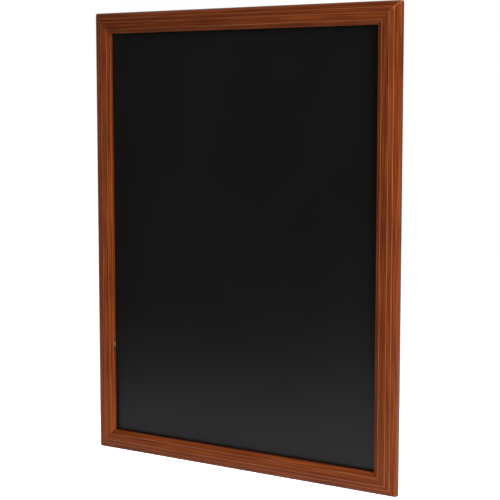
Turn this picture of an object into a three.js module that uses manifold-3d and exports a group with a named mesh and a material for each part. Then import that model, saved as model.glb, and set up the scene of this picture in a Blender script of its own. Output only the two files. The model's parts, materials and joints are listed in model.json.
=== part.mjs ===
// Wall chalkboard: a black writing panel in a mitred frame of stepped wooden moulding.
// Millimetres. X runs to the right as the writing side is seen, Y towards the wall, Z up.
// The origin is the seat of the wall hook, inside the arch of the top hanging ring.

import * as THREE from 'three';
import { mergeVertices } from 'three/addons/utils/BufferGeometryUtils.js';
import Module from 'manifold-3d';

const wasm = await Module();
wasm.setup();

// Frame
const frameWidth = 600;
const frameHeight = 800;
const mitreGap = 0.1;

// Moulding section: widths run inward from the outer edge, heights forward from the back
const outerSideHeight = 5;
const ovoloWidth = 9.9;
const ovoloRise = 9.4;
const lowerRiser = 1;
const lowerTreadWidth = 7.5;
const lowerTreadRise = 1.8;
const middleRiser = 1;
const upperTreadWidth = 12.3;
const upperTreadFall = 0.3;
const upperRiser = 1;
const sightSlopeWidth = 7.8;
const sightSlopeFall = 3.5;
const stepArrisRadius = 0.35;
const sightArrisRadius = 0.7;
const backArrisRadius = 0.8;
const lipWidth = 7;
const lipThickness = 8.7;

// Writing panel
const surfaceThickness = 0.6;
const coreThickness = 3.2;
const panelEdgeClearance = 1;
const panelSeatGap = 0.1;
const bondGap = 0.05;

// Panel points
const pointsPerStile = 4;
const pointsPerRail = 3;
const pointWidth = 6;
const pointThickness = 0.5;
const pointGrip = 9;
const pointReach = 7;
const pointTaper = 3;
const pointPanelGap = 0.25;
const pointSlotClearance = 0.1;

// Mitre nails
const nailLegLength = 6;
const nailThickness = 0.5;
const nailDepth = 8;
const nailSetBack = 0.3;
const nailSpreadDegrees = 100;
const nailInsets = [9, 21];
const nailSlotClearance = 0.1;

// Hangers
const wireRadius = 1.1;
const ringHalfWidth = 7;
const ringLegHeight = 5;
const ringCornerRadius = 2;
const ringSetDown = 2.4;
const ringWoodGap = 0.3;
const eyeLength = 9;
const eyeClearance = 0.2;
const plateThickness = 1;
const plateEndMargin = 5.5;
const plateWidth = 10;
const plateCornerRadius = 3;
const plateBelowHinge = 1.5;
const plateSeatGap = 0.1;

// Hanger screws
const screwRadius = 1.5;
const screwLength = 12;
const screwTipLength = 3;
const screwHeadRadius = 2.8;
const screwHeadHeight = 1.9;
const screwHeadGap = 0.1;
const screwRingGap = 0.6;
const screwRecessLength = 3.2;
const screwRecessWidth = 0.7;
const screwRecessDepth = 1.1;
const screwHoleClearance = 0.2;
const screwPilotClearance = 0.1;
const screwPilotDepthSpare = 0.5;

// Wall pads
const padRadius = 6;
const padFaceRadius = 5;
const padProudOfHanger = 0.4;
const padEdgeRadius = 0.8;
const padFromCorner = 52;
const padSeatGap = 0.1;

// Every cut runs past the face that it opens by this much
const cutOverrun = 2;

// How finely the round stretches are drawn
const ovoloSteps = 10;
const arrisSteps = 3;
const roundSides = 24;
const cornerSteps = 6;
const archSteps = 14;
const wireSides = 10;

// Sizes that follow from the ones above
const mouldingWidth = ovoloWidth + lowerTreadWidth + upperTreadWidth + sightSlopeWidth;
const lowerArrisAt = ovoloWidth;
const middleArrisAt = lowerArrisAt + lowerTreadWidth;
const upperArrisAt = middleArrisAt + upperTreadWidth;
const ovoloTop = outerSideHeight + ovoloRise;
const lowerArrisTop = ovoloTop + lowerRiser;
const lowerTreadEnd = lowerArrisTop + lowerTreadRise;
const middleArrisTop = lowerTreadEnd + middleRiser;
const upperTreadEnd = middleArrisTop - upperTreadFall;
const upperArrisTop = upperTreadEnd + upperRiser;
const sightArrisTop = upperArrisTop - sightSlopeFall;
const lipBack = sightArrisTop - lipThickness;
const rebateWallAt = mouldingWidth - lipWidth;
const landMiddleAt = rebateWallAt / 2;

const surfaceFront = lipBack - panelSeatGap;
const surfaceBack = surfaceFront - surfaceThickness;
const coreFront = surfaceBack - bondGap;
const coreBack = coreFront - coreThickness;
const panelEdgeAt = rebateWallAt + panelEdgeClearance;
const panelWidth = frameWidth - 2 * panelEdgeAt;
const panelHeight = frameHeight - 2 * panelEdgeAt;

const pointFront = coreBack - pointPanelGap;

const eyeBoreRadius = wireRadius + eyeClearance;
const eyeRadius = eyeBoreRadius + plateThickness;
const hingeHeight = plateSeatGap + eyeRadius;
const padFaceHeight = hingeHeight + eyeRadius + padProudOfHanger;
const ringCrown = ringLegHeight + ringHalfWidth;
const ringLean = Math.asin((hingeHeight - wireRadius - ringWoodGap) / ringCrown);
const hingeAt = ringSetDown + wireRadius + ringCrown * Math.cos(ringLean);
const plateDrop = plateBelowHinge + plateWidth / 2;
const screwPitch = 2 * (ringHalfWidth + wireRadius + screwRingGap + screwHeadRadius);
const plateLength = screwPitch + 2 * plateEndMargin;
const seatReach = ringCrown - wireRadius;
const hookSeat = new THREE.Vector3(
  0,
  hingeHeight - seatReach * Math.sin(ringLean),
  frameHeight / 2 - hingeAt + seatReach * Math.cos(ringLean),
);

// Colours and finishes
const stainedWood = { color: 0x74391a, roughness: 0.38, metalness: 0 };
const chalkBlack = { color: 0x161616, roughness: 0.62, metalness: 0 };
const hardboard = { color: 0x6b4a30, roughness: 0.8, metalness: 0 };
const zincSteel = { color: 0xb9bcc0, roughness: 0.35, metalness: 0.9 };
const blackRubber = { color: 0x1c1c1d, roughness: 0.75, metalness: 0 };

function piece(name, geometry, finish) {
  const mesh = new THREE.Mesh(geometry, new THREE.MeshStandardMaterial(finish));
  mesh.name = name;
  return mesh;
}

// A closed surface becomes a solid for cutting and joining, and a geometry again after it
function toSolid(geometry) {
  const bare = geometry.clone();
  bare.deleteAttribute('normal');
  bare.deleteAttribute('uv');
  const merged = mergeVertices(bare);
  const vertProperties = new Float32Array(merged.getAttribute('position').array);
  const triVerts = new Uint32Array(merged.getIndex().array);
  return new wasm.Manifold(new wasm.Mesh({ numProp: 3, vertProperties, triVerts }));
}

function toGeometry(solid) {
  const mesh = solid.getMesh();
  const geometry = new THREE.BufferGeometry();
  geometry.setAttribute('position', new THREE.BufferAttribute(mesh.vertProperties, 3));
  geometry.setIndex(new THREE.BufferAttribute(mesh.triVerts, 1));
  geometry.computeVertexNormals();
  return geometry;
}

function cutAway(geometry, cutters) {
  let solid = toSolid(geometry);
  for (const cutter of cutters) {
    solid = solid.subtract(toSolid(cutter));
  }
  return toGeometry(solid);
}

// An outline in X and Z, made thick along Y from one height over the back plane to another
function slab(shape, from, to) {
  const geometry = new THREE.ExtrudeGeometry(shape, { depth: to - from, bevelEnabled: false });
  geometry.rotateX(Math.PI / 2);
  geometry.translate(0, to, 0);
  return geometry;
}

// A turned piece whose axis stands along Y; its profile lists radius and height over the back
function turned(profile) {
  return new THREE.LatheGeometry(profile, roundSides);
}

function rod(radius, from, to) {
  const geometry = new THREE.CylinderGeometry(radius, radius, to - from, roundSides);
  geometry.translate(0, (from + to) / 2, 0);
  return geometry;
}

function arc(centreX, centreY, radius, fromDegrees, toDegrees, steps) {
  const from = THREE.MathUtils.degToRad(fromDegrees);
  const to = THREE.MathUtils.degToRad(toDegrees);
  const curve = new THREE.EllipseCurve(centreX, centreY, radius, radius, from, to, false);
  return curve.getPoints(steps);
}

// Softens the corners of an outline: each is a point with the radius of its rounding
function softened(corners) {
  const points = [];
  corners.forEach((corner, index) => {
    if (corner.radius === 0) {
      points.push(corner.at);
      return;
    }
    const before = corners[(index + corners.length - 1) % corners.length].at;
    const after = corners[(index + 1) % corners.length].at;
    const toBefore = before.clone().sub(corner.at).normalize();
    const toAfter = after.clone().sub(corner.at).normalize();
    const halfAngle = Math.acos(toBefore.dot(toAfter)) / 2;
    const run = corner.radius / Math.tan(halfAngle);
    const start = corner.at.clone().addScaledVector(toBefore, run);
    const end = corner.at.clone().addScaledVector(toAfter, run);
    points.push(...new THREE.QuadraticBezierCurve(start, corner.at, end).getPoints(arrisSteps));
  });
  return points;
}

// The moulding: flat outer side, quarter-round, three small steps and a slope to the sight
// edge; behind the sight edge a rebate, open at the back, holds the panel
function mouldingSection() {
  const corner = (inward, forward, radius) => ({ at: new THREE.Vector2(inward, forward), radius });
  const ovolo = new THREE.EllipseCurve(
    ovoloWidth, outerSideHeight, ovoloWidth, ovoloRise, Math.PI, Math.PI / 2, true,
  );
  return softened([
    corner(0, 0, backArrisRadius),
    ...ovolo.getPoints(ovoloSteps).map((at) => ({ at, radius: 0 })),
    corner(lowerArrisAt, lowerArrisTop, stepArrisRadius),
    corner(middleArrisAt, lowerTreadEnd, 0),
    corner(middleArrisAt, middleArrisTop, stepArrisRadius),
    corner(upperArrisAt, upperTreadEnd, 0),
    corner(upperArrisAt, upperArrisTop, stepArrisRadius),
    corner(mouldingWidth, sightArrisTop, sightArrisRadius),
    corner(mouldingWidth, lipBack, 0),
    corner(rebateWallAt, lipBack, 0),
    corner(rebateWallAt, 0, 0),
  ]);
}

// A member lies along X with its outer edge at Z zero and its back at Y zero. Every line of
// the section ends sooner by its own distance from the outer edge, which makes the mitres
function mitredMember(section, length) {
  const count = section.length;
  const positions = [];
  for (const end of [-1, 1]) {
    for (const { x: inward, y: forward } of section) {
      positions.push(end * (length / 2 - inward - mitreGap / 2), -forward, -inward);
    }
  }
  const faces = [];
  for (const [a, b, c] of THREE.ShapeUtils.triangulateShape(section, [])) {
    faces.push(a, b, c);
    faces.push(count + c, count + b, count + a);
  }
  for (let index = 0; index < count; index += 1) {
    const next = (index + 1) % count;
    faces.push(index, next, count + index);
    faces.push(next, count + next, count + index);
  }
  const geometry = new THREE.BufferGeometry();
  geometry.setAttribute('position', new THREE.Float32BufferAttribute(positions, 3));
  geometry.setIndex(faces);
  return geometry;
}

// A flat tab along Z, its pointed end driven into the timber and its square end over the
// panel; grown by a clearance it is its own slot
function pointTab(clearance) {
  const half = pointWidth / 2 + clearance;
  const root = -rebateWallAt;
  const tip = root + pointGrip + clearance;
  const shape = new THREE.Shape([
    new THREE.Vector2(-half, root - pointReach),
    new THREE.Vector2(half, root - pointReach),
    new THREE.Vector2(half, tip - pointTaper),
    new THREE.Vector2(0, tip),
    new THREE.Vector2(-half, tip - pointTaper),
  ]);
  return slab(shape, -pointFront - clearance, -pointFront + pointThickness + clearance);
}

// A V of steel strip whose ridge lies on the mitre and whose legs open outward, along Z
function mitreNail(clearance, back) {
  const half = THREE.MathUtils.degToRad(nailSpreadDegrees / 2);
  const leg = nailLegLength + clearance;
  const thickness = nailThickness + 2 * clearance;
  const endX = leg * Math.sin(half);
  const endZ = leg * Math.cos(half);
  const sideX = (thickness / 2) * Math.cos(half);
  const sideZ = (thickness / 2) * Math.sin(half);
  const ridge = thickness / 2 / Math.sin(half);
  const shape = new THREE.Shape([
    new THREE.Vector2(0, -ridge),
    new THREE.Vector2(endX + sideX, endZ - sideZ),
    new THREE.Vector2(endX - sideX, endZ + sideZ),
    new THREE.Vector2(0, ridge),
    new THREE.Vector2(-endX + sideX, endZ + sideZ),
    new THREE.Vector2(-endX - sideX, endZ - sideZ),
  ]);
  return slab(shape, -nailDepth - clearance, back);
}

function nailSlots(length) {
  const slots = [];
  for (const end of [-1, 1]) {
    for (const inset of nailInsets) {
      const slot = mitreNail(nailSlotClearance, cutOverrun);
      slot.rotateY(end * Math.PI / 4);
      slot.translate(end * (length / 2 - inset), 0, -inset);
      slots.push(slot);
    }
  }
  return slots;
}

function evenPlaces(count, length) {
  const pitch = length / count;
  return Array.from({ length: count }, (unused, index) => (index + 0.5) * pitch - length / 2);
}

function screwPlaces() {
  return [-screwPitch / 2, screwPitch / 2];
}

function pilotHoles() {
  const bottom = plateSeatGap + plateThickness + screwHeadGap - screwLength - screwPilotDepthSpare;
  return screwPlaces().map((place) => {
    const hole = rod(screwRadius + screwPilotClearance, bottom, cutOverrun);
    hole.translate(place, 0, -hingeAt - plateDrop);
    return hole;
  });
}

// Hanger plate: a flat plate with two screw holes and a tongue rolled into an eye. The eye's
// axis lies along X at Z zero, and the plate hangs below it
function hangerPlate() {
  const halfLength = plateLength / 2 - plateCornerRadius;
  const halfWidth = plateWidth / 2 - plateCornerRadius;
  const outline = [
    ...arc(halfLength, halfWidth - plateDrop, plateCornerRadius, 0, 90, cornerSteps),
    ...arc(-halfLength, halfWidth - plateDrop, plateCornerRadius, 90, 180, cornerSteps),
    ...arc(-halfLength, -halfWidth - plateDrop, plateCornerRadius, 180, 270, cornerSteps),
    ...arc(halfLength, -halfWidth - plateDrop, plateCornerRadius, 270, 360, cornerSteps),
  ];
  const shape = new THREE.Shape(outline);
  for (const place of screwPlaces()) {
    const hole = new THREE.Path();
    hole.absarc(place, -plateDrop, screwRadius + screwHoleClearance, 0, 2 * Math.PI, true);
    shape.holes.push(hole);
  }
  const tongue = new THREE.Shape([
    new THREE.Vector2(-eyeLength / 2, -plateDrop),
    new THREE.Vector2(eyeLength / 2, -plateDrop),
    new THREE.Vector2(eyeLength / 2, 0),
    new THREE.Vector2(-eyeLength / 2, 0),
  ]);
  const back = plateSeatGap + plateThickness;
  const eye = rod(eyeRadius, -eyeLength / 2, eyeLength / 2);
  const bore = rod(eyeBoreRadius, -eyeLength / 2 - cutOverrun, eyeLength / 2 + cutOverrun);
  for (const round of [eye, bore]) {
    round.rotateZ(Math.PI / 2);
    round.translate(0, hingeHeight, 0);
  }
  const joined = toSolid(slab(shape, plateSeatGap, back))
    .add(toSolid(slab(tongue, plateSeatGap, back)))
    .add(toSolid(eye))
    .subtract(toSolid(bore));
  return toGeometry(joined);
}

// Hanger ring: round wire bent to a D, its straight side on the X axis and its arch up
function hangerRing() {
  const corner = ringHalfWidth - ringCornerRadius;
  const path = [
    ...arc(corner, ringCornerRadius, ringCornerRadius, -90, 0, cornerSteps),
    ...arc(0, ringLegHeight, ringHalfWidth, 0, 180, archSteps),
    ...arc(-corner, ringCornerRadius, ringCornerRadius, 180, 270, cornerSteps),
  ];
  const count = path.length;
  const positions = [];
  const faces = [];
  path.forEach((point, station) => {
    const before = path[(station + count - 1) % count];
    const after = path[(station + 1) % count];
    const along = after.clone().sub(before).normalize();
    for (let side = 0; side < wireSides; side += 1) {
      const angle = (side / wireSides) * 2 * Math.PI;
      const out = wireRadius * Math.cos(angle);
      positions.push(point.x + out * along.y, wireRadius * Math.sin(angle), point.y - out * along.x);
      const turn = (side + 1) % wireSides;
      const near = station * wireSides;
      const far = ((station + 1) % count) * wireSides;
      faces.push(near + side, near + turn, far + side);
      faces.push(near + turn, far + turn, far + side);
    }
  });
  const geometry = new THREE.BufferGeometry();
  geometry.setAttribute('position', new THREE.Float32BufferAttribute(positions, 3));
  geometry.setIndex(faces);
  return geometry;
}

// Pan-head wood screw with a cross recess, driven from the back towards the front
function hangerScrew() {
  const seat = plateSeatGap + plateThickness + screwHeadGap;
  const tip = seat - screwLength;
  const top = seat + screwHeadHeight;
  const dome = new THREE.EllipseCurve(0, seat, screwHeadRadius, screwHeadHeight, 0, Math.PI / 2, false);
  const screw = turned([
    new THREE.Vector2(0, tip),
    new THREE.Vector2(screwRadius, tip + screwTipLength),
    new THREE.Vector2(screwRadius, seat),
    ...dome.getPoints(cornerSteps).slice(0, -1),
    new THREE.Vector2(0, top),
  ]);
  const slots = [[screwRecessLength, screwRecessWidth], [screwRecessWidth, screwRecessLength]];
  const cutters = slots.map(([length, width]) => {
    const slot = new THREE.BoxGeometry(length, screwRecessDepth + cutOverrun, width);
    slot.translate(0, top - screwRecessDepth + (screwRecessDepth + cutOverrun) / 2, 0);
    return slot;
  });
  return cutAway(screw, cutters);
}

function wallPad() {
  const centreX = padFaceRadius - padEdgeRadius;
  return turned([
    new THREE.Vector2(0, padSeatGap),
    new THREE.Vector2(padRadius, padSeatGap),
    ...arc(centreX, padFaceHeight - padEdgeRadius, padEdgeRadius, 0, 90, cornerSteps),
    new THREE.Vector2(0, padFaceHeight),
  ]);
}

const section = mouldingSection();
const board = new THREE.Group();

// Each member stands in a group of its own, whose Z axis points out of the frame
function memberGroup(outX, outZ) {
  const group = new THREE.Group();
  group.position.set((outX * frameWidth) / 2, 0, (outZ * frameHeight) / 2);
  group.rotation.y = Math.atan2(outX, outZ);
  board.add(group);
  return group;
}

function addMember(group, name, length, pointCount, holes) {
  const inner = length - 2 * rebateWallAt;
  const places = evenPlaces(pointCount, inner);
  const pointSlots = places.map((place) => {
    const slot = pointTab(pointSlotClearance);
    slot.translate(place, 0, 0);
    return slot;
  });
  const cutters = [...nailSlots(length), ...pointSlots, ...holes];
  group.add(piece(name, cutAway(mitredMember(section, length), cutters), stainedWood));
  places.forEach((place, index) => {
    const point = piece(`panel_point_${name}_${index + 1}`, pointTab(0), zincSteel);
    point.position.x = place;
    group.add(point);
  });
}

function addHanger(group, place, screwNames) {
  const hanger = new THREE.Group();
  hanger.position.z = -hingeAt;
  hanger.add(piece(`hanger_plate_${place}`, hangerPlate(), zincSteel));
  const ring = piece(`hanger_ring_${place}`, hangerRing(), zincSteel);
  ring.position.y = hingeHeight;
  ring.rotation.x = ringLean;
  hanger.add(ring);
  screwPlaces().forEach((along, index) => {
    const screw = piece(`hanger_screw_${place}_${screwNames[index]}`, hangerScrew(), zincSteel);
    screw.position.set(along, 0, -plateDrop);
    hanger.add(screw);
  });
  group.add(hanger);
}

function addPads(group, height, names) {
  [-1, 1].forEach((end, index) => {
    const pad = piece(`wall_pad_${height}_${names[index]}`, wallPad(), blackRubber);
    pad.position.set(end * (frameWidth / 2 - padFromCorner), 0, -landMiddleAt);
    group.add(pad);
  });
}

const top = memberGroup(0, 1);
addMember(top, 'top_rail', frameWidth, pointsPerRail, pilotHoles());
addHanger(top, 'top', ['left', 'right']);
addPads(top, 'top', ['left', 'right']);

const bottom = memberGroup(0, -1);
addMember(bottom, 'bottom_rail', frameWidth, pointsPerRail, []);
addPads(bottom, 'bottom', ['right', 'left']);

const left = memberGroup(-1, 0);
addMember(left, 'left_stile', frameHeight, pointsPerStile, pilotHoles());
addHanger(left, 'side', ['lower', 'upper']);

const right = memberGroup(1, 0);
addMember(right, 'right_stile', frameHeight, pointsPerStile, []);

// Writing panel: the black sheet bonded to its core, held against the back of the lip
function panelSheet(name, front, back, finish) {
  const geometry = new THREE.BoxGeometry(panelWidth, front - back, panelHeight);
  const sheet = piece(name, geometry, finish);
  sheet.position.y = -(front + back) / 2;
  board.add(sheet);
}
panelSheet('chalk_surface', surfaceFront, surfaceBack, chalkBlack);
panelSheet('panel_core', coreFront, coreBack, hardboard);

// Mitre nails, an outer and an inner one at each corner
const corners = [
  ['top_right', 1, 1],
  ['top_left', -1, 1],
  ['bottom_right', 1, -1],
  ['bottom_left', -1, -1],
];
const nailNames = ['outer', 'inner'];
for (const [corner, outX, outZ] of corners) {
  nailInsets.forEach((inset, index) => {
    const name = `mitre_nail_${corner}_${nailNames[index]}`;
    const nail = piece(name, mitreNail(0, -nailSetBack), zincSteel);
    nail.position.set(outX * (frameWidth / 2 - inset), 0, outZ * (frameHeight / 2 - inset));
    nail.rotation.y = Math.atan2(outX, outZ);
    board.add(nail);
  });
}

board.position.copy(hookSeat).negate();
const chalkboard = new THREE.Group();
chalkboard.add(board);

export default chalkboard;
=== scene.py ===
import json
import math

import bmesh
import bpy
from mathutils import Matrix, Vector


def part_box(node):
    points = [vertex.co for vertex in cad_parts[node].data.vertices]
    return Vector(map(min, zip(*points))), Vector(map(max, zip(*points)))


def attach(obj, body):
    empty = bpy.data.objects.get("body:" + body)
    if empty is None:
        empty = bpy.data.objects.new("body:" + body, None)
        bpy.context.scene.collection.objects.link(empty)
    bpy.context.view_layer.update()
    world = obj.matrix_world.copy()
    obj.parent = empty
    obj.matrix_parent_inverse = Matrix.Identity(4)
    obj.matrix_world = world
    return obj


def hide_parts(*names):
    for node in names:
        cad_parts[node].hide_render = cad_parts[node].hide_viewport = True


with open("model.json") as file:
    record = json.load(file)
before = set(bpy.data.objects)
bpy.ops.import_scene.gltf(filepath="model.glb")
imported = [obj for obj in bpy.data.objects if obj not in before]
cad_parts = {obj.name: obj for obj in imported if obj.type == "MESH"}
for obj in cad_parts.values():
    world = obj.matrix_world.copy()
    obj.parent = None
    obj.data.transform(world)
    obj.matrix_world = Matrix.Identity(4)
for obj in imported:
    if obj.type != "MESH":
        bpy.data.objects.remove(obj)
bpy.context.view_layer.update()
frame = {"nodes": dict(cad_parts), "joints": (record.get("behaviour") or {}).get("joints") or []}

# Mitred frame. Four lengths of one stepped moulding in a straight-grained timber, stained
# red-brown and lacquered, sawn at 45 degrees, glued, and nailed from behind at each corner.
# A rebate behind the sight edge takes the panel, and its wall takes the panel points.

# The pieces' sizes are in millimetres, and the scene is in metres.
MM = 0.001
MITRE_GAP = 0.05
OUTER_SIDE = 5.0
OVOLO = (9.9, 9.4)
ARRISES = ((9.9, 15.4, 0.35), (17.4, 18.2, 0.35), (29.7, 18.9, 0.35), (37.5, 15.4, 0.7))
RISER_FEET = ((9.9, 14.4), (17.4, 17.2), (29.7, 17.9))
BACK_ARRIS = 0.8
LIP_BACK = 6.7
LIP_BACK_ARRIS = 0.4
REBATE_WALL = 30.5
REBATE_ARRIS = 0.2
ARRIS_STEPS = 6
OVOLO_STEPS = 22
OUTLINE_STEP = 2.2
CORNER_STEPS = (0.3, 0.75, 1.4)
STATION_PITCH = 6.5
END_CROWDING = 1.7
CORNER_RADIUS = 3.4
JOINT_GROOVE_DEPTH = 0.12
JOINT_GROOVE_WIDTH = 0.4
BACK_STAIN_EDGE = (1.2, 0.4)
# How far the arrises' painted highlight with wear, and the coves' painted shade with filler, reach.
TREAD_HIGHLIGHT_WEAR_REACH = 1.25
RISER_HIGHLIGHT_WEAR_REACH = 0.7
COVE_REACH = 1.1
MARK_STEEPNESS = 1.6
ARRIS_HIGHLIGHT_WEAR_SHARES = (0.65, 0.75, 0.9, 0.3)
MITRE_HIGHLIGHT_WEAR_REACH = 5.0
MITRE_HIGHLIGHT_WEAR_SLANT = 0.2
LIP_SHADE_START = 9.8
LIP_SHADE_DEPTH = 1.8
SAME_PLACE = 0.05
FLAT_MIDDLE = 0.1
LEAST_RADIUS = 0.0001

STAIN_DARK = (0.098, 0.0145, 0.0014, 1)
STAIN_MIDDLE = (0.155, 0.0275, 0.0026, 1)
STAIN_LIGHT = (0.225, 0.047, 0.0055, 1)
# Painted highlight, with wear, on the arrises.
ARRIS_HIGHLIGHT_AND_WEAR = (0.50, 0.165, 0.062, 1)
# Dark filler in the coves, joints and notch, and painted shade in the coves.
DARK_FILLER_AND_COVE_SHADE = (0.060, 0.0090, 0.0016, 1)
# Painted shade, with stain, on the lip's inner face.
LIP_SHADE_AND_STAIN = (0.014, 0.0026, 0.0012, 1)
BARE_WOOD = (0.29, 0.145, 0.082, 1)
BACK_WOOD = (0.245, 0.098, 0.036, 1)

# The sizes of the grain, and of the patchiness of the painted highlights and painted shade,
# in waves to the metre along, through and across a member.
BANDS = (2.6, 105, 105)
FIBRE = (11, 520, 520)
PORES = (52, 2400, 2400)
CLOUDS = (9, 22, 22)
COVE_BREAKUP = (40, 300, 300)
ARRIS_BREAKUP = (14, 160, 160)
MITRE_BREAKUP = (160, 420, 420)
GRAIN_DEPTH = 0.12
LACQUER_SPECULAR = 0.24


def add(tree, kind, inputs=None, **settings):
    """Adds a node, sets its options, and joins or sets its inputs by name or number."""
    made = tree.nodes.new(kind)
    for option, value in settings.items():
        setattr(made, option, value)
    for key, value in (inputs or {}).items():
        socket = made.inputs[key]
        if isinstance(value, bpy.types.NodeSocket):
            tree.links.new(value, socket)
        else:
            socket.default_value = value
    return made


def reckon(tree, operation, *values):
    """The output of one arithmetic node."""
    return add(tree, "ShaderNodeMath", dict(enumerate(values)), operation=operation).outputs[0]


def new_shape_tree(name, inputs):
    """A geometry tree with named inputs and one geometry output."""
    tree = bpy.data.node_groups.new(name, "GeometryNodeTree")
    tree.interface.new_socket("Geometry", in_out="OUTPUT", socket_type="NodeSocketGeometry")
    for label, kind in inputs:
        tree.interface.new_socket(label, in_out="INPUT", socket_type="NodeSocket" + kind)
    return tree


def close_shape_tree(tree, shape, finish):
    """Ends a tree: real geometry in one finish."""
    real = add(tree, "GeometryNodeRealizeInstances", {"Geometry": shape}).outputs["Geometry"]
    done = add(tree, "GeometryNodeSetMaterial", {"Geometry": real, "Material": finish})
    add(tree, "NodeGroupOutput", {"Geometry": done.outputs["Geometry"]})


def put_in_scene(name, mesh):
    piece = bpy.data.objects.new(name, mesh)
    bpy.context.scene.collection.objects.link(piece)
    return piece


def smooth_faces(mesh, sharp_degrees):
    mesh.shade_smooth()
    mesh.set_sharp_from_angle(angle=math.radians(sharp_degrees))


def finished_mesh(piece):
    """A plain copy of a piece's mesh as its modifiers leave it."""
    bpy.context.view_layer.update()
    depsgraph = bpy.context.evaluated_depsgraph_get()
    return bpy.data.meshes.new_from_object(
        piece.evaluated_get(depsgraph), preserve_all_data_layers=True, depsgraph=depsgraph)


def shape_piece(name, tree, values, place=Matrix(), sharp_degrees=32):
    """Runs a tree on an empty piece and keeps the result as its plain mesh."""
    piece = put_in_scene(name, bpy.data.meshes.new(name))
    modifier = piece.modifiers.new("shape", "NODES")
    modifier.node_group = tree
    for item in tree.interface.items_tree:
        if item.in_out == "INPUT":
            modifier[item.identifier] = values[item.name]
    mesh = finished_mesh(piece)
    piece.modifiers.remove(modifier)
    mesh.transform(place)
    mesh.name = name
    piece.data = mesh
    smooth_faces(mesh, sharp_degrees)
    return piece


def arc_points(centre, radii, start, end, steps):
    """Points on an arc or an elliptical arc, from one angle in degrees to another."""
    points = []
    for step in range(steps + 1):
        angle = math.radians(start + (end - start) * step / steps)
        points.append((centre[0] + radii[0] * math.cos(angle),
                       centre[1] + radii[1] * math.sin(angle)))
    return points


def eased_corner(before, corner, after, radius, steps):
    """A rounded corner that is tangent to the two sides that meet there."""
    corner = Vector(corner)
    to_before = (Vector(before) - corner).normalized()
    to_after = (Vector(after) - corner).normalized()
    half = to_before.angle(to_after) / 2
    middle = (to_before + to_after).normalized()
    centre = corner + middle * radius / math.sin(half)
    start = to_before * radius / math.tan(half) + corner - centre
    end = to_after * radius / math.tan(half) + corner - centre
    turn = start.angle_signed(end)
    points = []
    for step in range(steps + 1):
        spoke = Matrix.Rotation(-turn * step / steps, 2) @ start
        points.append(tuple(centre + spoke))
    return points


def moulding_outline():
    """The section as a closed line of points: inward from the outer edge, forward from the back."""
    ovolo = arc_points((OVOLO[0], OUTER_SIDE), OVOLO, 180, 90, OVOLO_STEPS)
    corners = [((0, 0), BACK_ARRIS)] + [(point, 0) for point in ovolo]
    for index, (inward, forward, radius) in enumerate(ARRISES):
        corners.append(((inward, forward), radius))
        if index < 2:
            corners.append((RISER_FEET[index + 1], 0))
    sight = ARRISES[-1][0]
    corners += [((sight, LIP_BACK), LIP_BACK_ARRIS), ((REBATE_WALL, LIP_BACK), 0),
                ((REBATE_WALL, 0), REBATE_ARRIS)]
    outline = []
    for index, (corner, radius) in enumerate(corners):
        before = corners[index - 1][0]
        after = corners[(index + 1) % len(corners)][0]
        if radius:
            outline += eased_corner(before, corner, after, radius, ARRIS_STEPS)
        else:
            outline.append(corner)
    return [Vector(point) for point in outline]


def closer_points(outline):
    """Adds points to the flats, closest together near their ends, for the painted highlight, wear,
    painted shade and stain.
    """
    points = []
    for index, start in enumerate(outline):
        end = outline[(index + 1) % len(outline)]
        run = (end - start).length
        marks = [mark for mark in CORNER_STEPS if mark < run / 2 - FLAT_MIDDLE]
        first = marks[-1] if marks else 0.0
        middle = run - 2 * first
        count = max(1, math.ceil(middle / OUTLINE_STEP))
        places = [0.0] + marks + [first + middle * step / count for step in range(1, count)]
        if marks:
            places += [run - mark for mark in reversed(marks)]
        points += [start.lerp(end, place / run) for place in places]
    return points


def nearness(point, corner, inner_reach, outer_reach):
    """1 round a corner, falling to 0 at one distance inward and at another outward."""
    away = point - Vector(corner[:2])
    reach = inner_reach if away.x > SAME_PLACE else outer_reach
    return max(0.0, min(1.0, MARK_STEEPNESS * (1.0 - away.length / reach)))


def arris_highlight_and_wear(point):
    """Painted highlight along the arrises, with the wear where the sander and hands took the stain
    off: most on the inner side of an arris.
    """
    inner_reaches = (TREAD_HIGHLIGHT_WEAR_REACH, TREAD_HIGHLIGHT_WEAR_REACH, TREAD_HIGHLIGHT_WEAR_REACH, RISER_HIGHLIGHT_WEAR_REACH)
    return max(share * nearness(point, arris, inner_reach, RISER_HIGHLIGHT_WEAR_REACH)
               for arris, share, inner_reach in zip(ARRISES, ARRIS_HIGHLIGHT_WEAR_SHARES, inner_reaches))


def lip_shade(point):
    """1 on the lip's inner face, for painted shade in the recess and gathered stain, rising from
    the sight arris back.
    """
    if point.x < ARRISES[-1][0] - SAME_PLACE:
        return 0.0
    return max(0.0, min(1.0, (LIP_SHADE_START - point.y) / LIP_SHADE_DEPTH))


def closed_line(name, points):
    """A mesh of points, given in millimetres, and the edges that join them in a ring."""
    mesh = bpy.data.meshes.new(name)
    edges = [(index, (index + 1) % len(points)) for index in range(len(points))]
    mesh.from_pydata([(x * MM, y * MM, z * MM) for x, y, z in points], edges, [])
    return mesh


def moulding_section():
    """The section's outline as a line mesh that carries each point's place, painted highlight and
    wear, and painted shade.
    """
    points = closer_points(moulding_outline())
    mesh = closed_line("moulding_section", [(*point, 0) for point in points])
    lip_face = ARRISES[-1][0] - 2 * SAME_PLACE
    show = [1.0 if point.y > OUTER_SIDE and point.x < lip_face else 0.0 for point in points]
    columns = {
        "inward": [point.x * MM for point in points],
        "forward": [point.y * MM for point in points],
        "arris": [arris_highlight_and_wear(point) for point in points],
        "cove": [max(nearness(point, foot, COVE_REACH, COVE_REACH) for foot in RISER_FEET[1:])
                 for point in points],
        "lip": [lip_shade(point) for point in points],
        "show": show,
    }
    for label, values in columns.items():
        mesh.attributes.new(label, "FLOAT", "POINT").data.foreach_set("value", values)
    return put_in_scene("moulding_section", mesh)


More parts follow.
